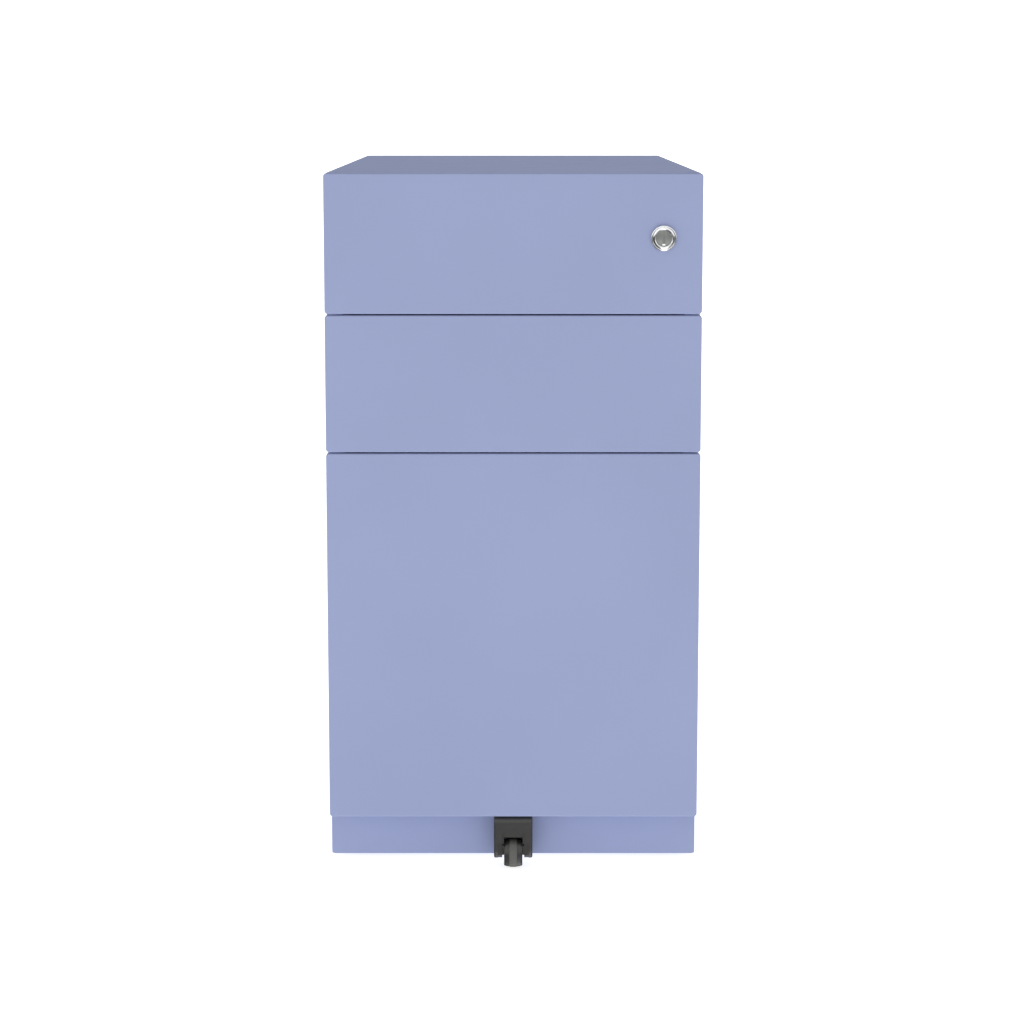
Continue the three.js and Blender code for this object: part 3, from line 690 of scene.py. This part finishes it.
class FifthSizes:
    """The fifth castor's sizes in mm. The outer ones are those of its CAD nodes."""

    def __init__(self):
        low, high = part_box("fifth_castor_housing")
        wheel_low, wheel_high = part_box("fifth_castor_wheel")
        self.half = high.x / MM
        self.y0, self.y1 = low.y / MM, high.y / MM
        self.z0, self.z1 = low.z / MM, high.z / MM
        self.axle = (wheel_low + wheel_high) / 2  # a place, in metres
        self.radius = (wheel_high.z - wheel_low.z) / 2 / MM
        self.reach = wheel_high.x / MM
        self.slot_half = self.reach + 0.12
        self.foot_half = self.slot_half + 1.4
        self.rim = self.half - 3.2
        self.slot_top = 27.6
        self.back_opening = 21.6
        self.back_wall = 0.8
        self.step = 22.4
        self.notch = (self.step - 1.7, self.step - 0.1)
        self.lip_bottom = 12.8
        self.lip_top = self.slot_top + 3.5
        self.inner_bottom = self.z0 + 1.1
        self.past = 5  # of a cutting solid, beyond what it cuts
        self.band = 3.25  # half the tread's width


def fifth_gaps(size):
    """Functions that make the solids of the openings right through the block."""
    start_y, start_z = size.y0 - size.past, size.z0 - size.past
    slot, foot = size.slot_half, size.foot_half

    def wheel_well(bm):
        """The wheel's slot, open at the front."""
        block(bm, (-slot, start_y, start_z), (slot, size.y1 - size.back_wall, size.slot_top))

    def back_gap(bm):
        """The slot's opening at the back, where the wheel stands out a little."""
        block(bm, (-slot, start_y, start_z), (slot, size.y1 + size.past, size.back_opening))

    def foot_gap(bm):
        """The wider gap between the feet, below the slot's lips."""
        block(bm, (-foot, start_y, start_z), (foot, size.y1 + size.past, size.lip_bottom))

    return wheel_well, back_gap, foot_gap


def cheek_cuts(size, side):
    """Functions that make the solids cut from one cheek of the block."""
    start_y, start_z = size.y0 - size.past, size.z0 - size.past

    def recess(bm):
        """A shallow flat between the slot's lip and the outer rim."""
        ends = sorted((side * size.foot_half, side * size.rim))
        outline = rounded_outline((ends[0], start_z), (ends[1], size.step), (0, 0, 0.5, 0.5), 4)
        extrude(bm, outline, "y", start_y, size.y0 + 1.3)

    def foot(bm):
        """The inner part of the cheek ends a little above its rim."""
        ends = sorted((side * (size.slot_half - 1), side * size.rim))
        block(bm, (ends[0], start_y, start_z), (ends[1], size.y1 + size.past, size.inner_bottom))

    def lip_notch(bm):
        """A small gap in the lip, level with the step of the cheek."""
        ends = sorted((side * (size.slot_half - 1), side * size.foot_half))
        block(bm, (ends[0], start_y, size.notch[0]), (ends[1], size.y0 + 3.0, size.notch[1]))

    return recess, foot, lip_notch


def fifth_block(size):
    """The moulded block: rounded hood, slotted front, and hollow cheeks."""

    def body(bm):
        outline = rounded_outline((size.y0, size.z0), (size.y1, size.z1), (8.0, 7.5, 1.5, 6.8), 8)
        extrude(bm, outline, "x", -size.half, size.half)

    piece = mesh_object("fifth_castor_block", body)
    rounded = piece.modifiers.new("outer_edges", "BEVEL")
    rounded.width = 1.3 * MM
    rounded.segments = 5
    rounded.limit_method = "ANGLE"
    rounded.angle_limit = math.radians(50)
    settle(piece)
    for cut in (*fifth_gaps(size), *cheek_cuts(size, -1), *cheek_cuts(size, 1)):
        carve(piece, cut)
    finish_piece(piece, "bottom_drawer", "black_plastic", ("fifth_castor_housing",), edge=0.25)


def fifth_lips(size):
    """A fine bead along each edge of the slot, broken by the notch."""
    width = (size.foot_half - size.slot_half) / 2 - 0.05
    gap = 0.1
    spans = (size.lip_bottom + gap, size.notch[0] - gap), (size.notch[1] + gap, size.lip_top)

    def build(bm):
        for side in (-1, 1):
            middle = side * (size.slot_half + size.foot_half) / 2
            corners = (middle - width, size.y0 - 0.35), (middle + width, size.y0 + 0.9)
            for low_z, high_z in spans:
                extrude(bm, rounded_outline(*corners, (0.34, 0.34, 0, 0), 4), "z", low_z, high_z)

    finish_piece(mesh_object("fifth_castor_lips", build), "bottom_drawer", "black_plastic", edge=0.12)


def fifth_axle(size):
    def build(bm):
        ends = size.slot_half + 0.9
        profile = [(0, -ends), (1.7, -ends), (2.0, 0.3 - ends), (2.0, ends - 0.3), (1.7, ends), (0, ends)]
        turn(bm, profile, "x", size.axle, 32)

    pin = mesh_object("fifth_castor_pin", build)
    finish_piece(pin, "bottom_drawer", "satin_steel", ("fifth_castor_axle",))


def both_sides(side):
    """A closed profile from its right half, which is listed from the bore outwards."""
    return [*((r, -t) for r, t in side), *reversed(side), (side[0][0], -side[0][1])]


def fifth_roller(size):
    """A hub with dark shoulders that fall away to the sides, and a softer crowned band round it."""
    radius, reach, band = size.radius, size.reach, size.band

    def hub(bm):
        side = [
            (2.15, reach - 0.2),
            (4.4, reach - 0.2),
            (4.7, reach - 1.0),
            (radius - 3.4, reach - 1.0),
            (radius - 3.1, reach - 0.15),
            (radius - 2.9, reach),
            (radius - 1.9, reach),
            (radius - 1.5, reach - 0.1),
            (radius - 1.25, reach - 0.45),
            (radius - 0.85, reach - 1.8),
            (radius - 0.5, band + 0.6),
            (radius - 0.42, band + 0.1),
            (radius - 1.0, band),
        ]
        turn(bm, both_sides(side), "x", size.axle, 96)

    def tread(bm):
        side = [
            (radius - 1.4, band - 0.1),
            (radius - 0.45, band - 0.1),
            (radius - 0.24, band - 0.3),
            (radius - 0.08, band - 1.4),
            (radius, 0.6),
        ]
        turn(bm, both_sides(side), "x", size.axle, 96)

    roller = mesh_object("fifth_castor_roller", hub)
    finish_piece(roller, "fifth_wheel", "black_plastic", ("fifth_castor_wheel",))
    finish_piece(mesh_object("fifth_castor_tread", tread), "fifth_wheel", "grey_tread")


def fifth_castor():
    """The castor under the deep drawer's front: its block, the slot's beads, its axle and its wheel."""
    size = FifthSizes()
    fifth_block(size)
    fifth_lips(size)
    fifth_axle(size)
    fifth_roller(size)


# ------------------------------------------------------------------------------------------------
# Castors
# ------------------------------------------------------------------------------------------------


def castor(name):
    """A twin-wheel castor: a bolted plate, a hooded fork and a pair of hubbed wheels."""
    wheel_low, wheel_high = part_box(f"{name}_wheels")
    plate_low, plate_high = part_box(f"{name}_plate")
    axle = (wheel_low + wheel_high) / 2
    pivot = (plate_low + plate_high) / 2
    radius = (wheel_high.z - wheel_low.z) / 2 / MM
    reach = (wheel_high.x - wheel_low.x) / 2 / MM

    carried(f"{name}_plate", PLATE_EDGE)

    def bolts(bm):
        z = plate_high.z - PLATE_SHEET * MM
        for side in (-1, 1):
            for end in (-1, 1):
                centre = (pivot.x + side * BOLT_REACH * MM, pivot.y + end * BOLT_REACH * MM, z)
                domed_head(bm, centre, "z", -1, *BOLT_HEAD)

    finish_piece(mesh_object(f"{name}_bolts", bolts), "carcase", "zinc")

    def wheels(bm):
        half = [
            (2.5, 5.8),
            (radius - 1.6, 5.8),
            (radius - 0.5, 6.3),
            (radius, 7.6),
            (radius, reach - 3.0),
            (radius - 0.4, reach - 1.6),
            (radius - 1.4, reach - 0.7),
            (radius - 2.6, reach - 0.5),
            (radius - 3.2, reach - 1.6),
            (8.4, reach - 2.2),
            (8.0, reach - 0.9),
            (6.8, reach - 0.3),
            (3.0, reach),
            (0, reach),
        ]
        profile = [*((r, -t) for r, t in reversed(half)), *half]
        turn(bm, profile, "x", axle, 64)

    pair = f"{name}_wheel_pair"
    finish_piece(mesh_object(pair, wheels), pair, "black_plastic", (f"{name}_wheels",))

    carried(f"{name}_fork", FORK_EDGE)


# ------------------------------------------------------------------------------------------------
# Studio
# ------------------------------------------------------------------------------------------------


def stage():
    """A pale floor that curves up into a pale backdrop."""
    reach, back, rise = 9.0, 7.0, 2.0
    section = [(-reach, 0.0), (back - rise, 0.0)]
    section += [
        (back - rise + rise * math.sin(a), rise - rise * math.cos(a))
        for a in (math.pi / 2 * i / 16 for i in range(1, 17))
    ]
    section.append((back, 7.0))

    def build(bm):
        left = [bm.verts.new((-reach, y, z)) for y, z in section]
        right = [bm.verts.new((reach, y, z)) for y, z in section]
        for i in range(len(section) - 1):
            bm.faces.new((left[i], right[i], right[i + 1], left[i + 1]))

    floor = mesh_object("studio_floor", build)
    floor.data.shade_smooth()
    shader = Shader("studio_white", specular=0.1)
    shader.bsdf.inputs["Base Color"].default_value = (FLOOR_GREY, FLOOR_GREY, FLOOR_GREY, 1)
    shader.bsdf.inputs["Roughness"].default_value = 0.9
    shader.bsdf.inputs["Emission Color"].default_value = (1, 1, 1, 1)
    shader.bsdf.inputs["Emission Strength"].default_value = FLOOR_GLOW
    floor.data.materials.append(shader.material)
    floor.visible_glossy = False


def area_light(name, place, target, size, power):
    light = bpy.data.lights.new(name, "AREA")
    light.shape = "RECTANGLE"
    light.size, light.size_y = size
    light.energy = power
    obj = bpy.data.objects.new(name, light)
    obj.location = place
    obj.rotation_euler = (Vector(target) - Vector(place)).to_track_quat("-Z", "Y").to_euler()
    bpy.context.scene.collection.objects.link(obj)


class WorldNodes:
    """The world's node tree, with short ways to add nodes to it."""

    def __init__(self, world):
        world.use_nodes = True
        self.nodes = world.node_tree.nodes
        self.links = world.node_tree.links
        self.always = self.nodes.new("ShaderNodeValue").outputs[0]
        self.always.default_value = 1

    def direction(self):
        """The node whose outputs X, Y and Z are the direction looked in."""
        split = self.nodes.new("ShaderNodeSeparateXYZ")
        place = self.nodes.new("ShaderNodeTexCoord").outputs["Generated"]
        self.links.new(place, split.inputs["Vector"])
        return split

    def ramp(self, value, stops):
        """A grey that changes with a value, through stops of [position, level]."""
        node = self.nodes.new("ShaderNodeValToRGB")
        self.links.new(value, node.inputs["Fac"])
        while len(node.color_ramp.elements) < len(stops):
            node.color_ramp.elements.new(0.5)
        for element, (position, level) in zip(node.color_ramp.elements, stops):
            element.position = position
            element.color = (level, level, level, 1)
        return node.outputs["Color"]

    def even(self, level):
        return self.ramp(self.always, [(0.0, level), (1.0, level)])

    def arithmetic(self, operation, socket, *numbers):
        """Arithmetic on a socket and one or two numbers."""
        node = self.nodes.new("ShaderNodeMath")
        node.operation = operation
        self.links.new(socket, node.inputs[0])
        for target, number in zip(node.inputs[1:], numbers):
            target.default_value = number
        return node.outputs[0]

    def blend(self, share, first, second, kind="MIX"):
        """A colour between two sockets, or their product."""
        node = self.nodes.new("ShaderNodeMix")
        node.data_type = "RGBA"
        node.blend_type = kind
        self.links.new(share, node.inputs["Factor"])
        colours = [i for i in node.inputs if i.type == "RGBA"]
        self.links.new(first, colours[0])
        self.links.new(second, colours[1])
        return next(o for o in node.outputs if o.type == "RGBA")


def mirrored_room(tree, direction):
    """What polished metal sees: a bright ceiling, and below it dark flags beside a bright strip of floor."""
    x, y, z = (direction.outputs[axis] for axis in "XYZ")
    across = tree.arithmetic("MULTIPLY_ADD", x, 0.5, 0.5)
    height = tree.arithmetic("ADD", z, 0.5)
    below = tree.ramp(across, LOW_REFLECTION)
    low_side = tree.blend(tree.always, below, tree.ramp(height, AHEAD_REFLECTION), "MULTIPLY")
    rise = tree.ramp(height, HIGH_REFLECTION_RISE)
    around = tree.blend(rise, low_side, tree.even(CEILING_REFLECTION))
    behind = tree.ramp(tree.arithmetic("MAXIMUM", y, 0), BACK_REFLECTION)
    return tree.blend(tree.always, around, behind, "MULTIPLY")


def world_light():
    """Soft light from everywhere, a designed room for polished metal, and a white backdrop."""
    world = bpy.data.worlds.new("studio")
    bpy.context.scene.world = world
    tree = WorldNodes(world)
    direction = tree.direction()
    soft = tree.ramp(direction.outputs["Z"], [(0.05, WORLD_HORIZON), (0.75, WORLD_ZENITH)])
    path = tree.nodes.new("ShaderNodeLightPath").outputs
    lit = tree.blend(path["Is Glossy Ray"], soft, mirrored_room(tree, direction))
    seen = tree.blend(path["Is Camera Ray"], lit, tree.even(BACKDROP_WHITE))
    tree.links.new(seen, tree.nodes["Background"].inputs["Color"])


def studio_light():
    """The soft world, a large softbox in front and a strip at each side."""
    world_light()
    area_light("front_softbox", (-0.9, -3.4, 1.9), (0, 0, 0.3), (2.6, 2.0), FRONT_POWER)
    area_light("left_strip", (-2.6, -0.6, 1.0), (0, 0, 0.3), (0.7, 2.2), SIDE_POWER)
    area_light("right_strip", (2.6, -0.4, 1.1), (0, 0, 0.3), (0.7, 2.2), SIDE_POWER)


def camera():
    data = bpy.data.cameras.new("camera")
    data.lens = CAMERA_LENS
    data.sensor_width = CAMERA_SENSOR
    data.shift_y = CAMERA_SHIFT
    obj = bpy.data.objects.new("camera", data)
    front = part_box("top_drawer_front_shell")[0].y
    obj.location = (CAMERA_X, front - CAMERA_DISTANCE, CAMERA_HEIGHT)
    obj.rotation_euler = (math.radians(90 - CAMERA_PITCH), 0, 0)
    bpy.context.scene.collection.objects.link(obj)
    bpy.context.scene.camera = obj


sheet_metal()
rivets()
cage_balls()
weld_marks()
lock()
fifth_castor()
for castor_name in CASTORS:
    castor(castor_name)
stage()
studio_light()
camera()
bpy.context.scene.view_settings.view_transform = "Standard"
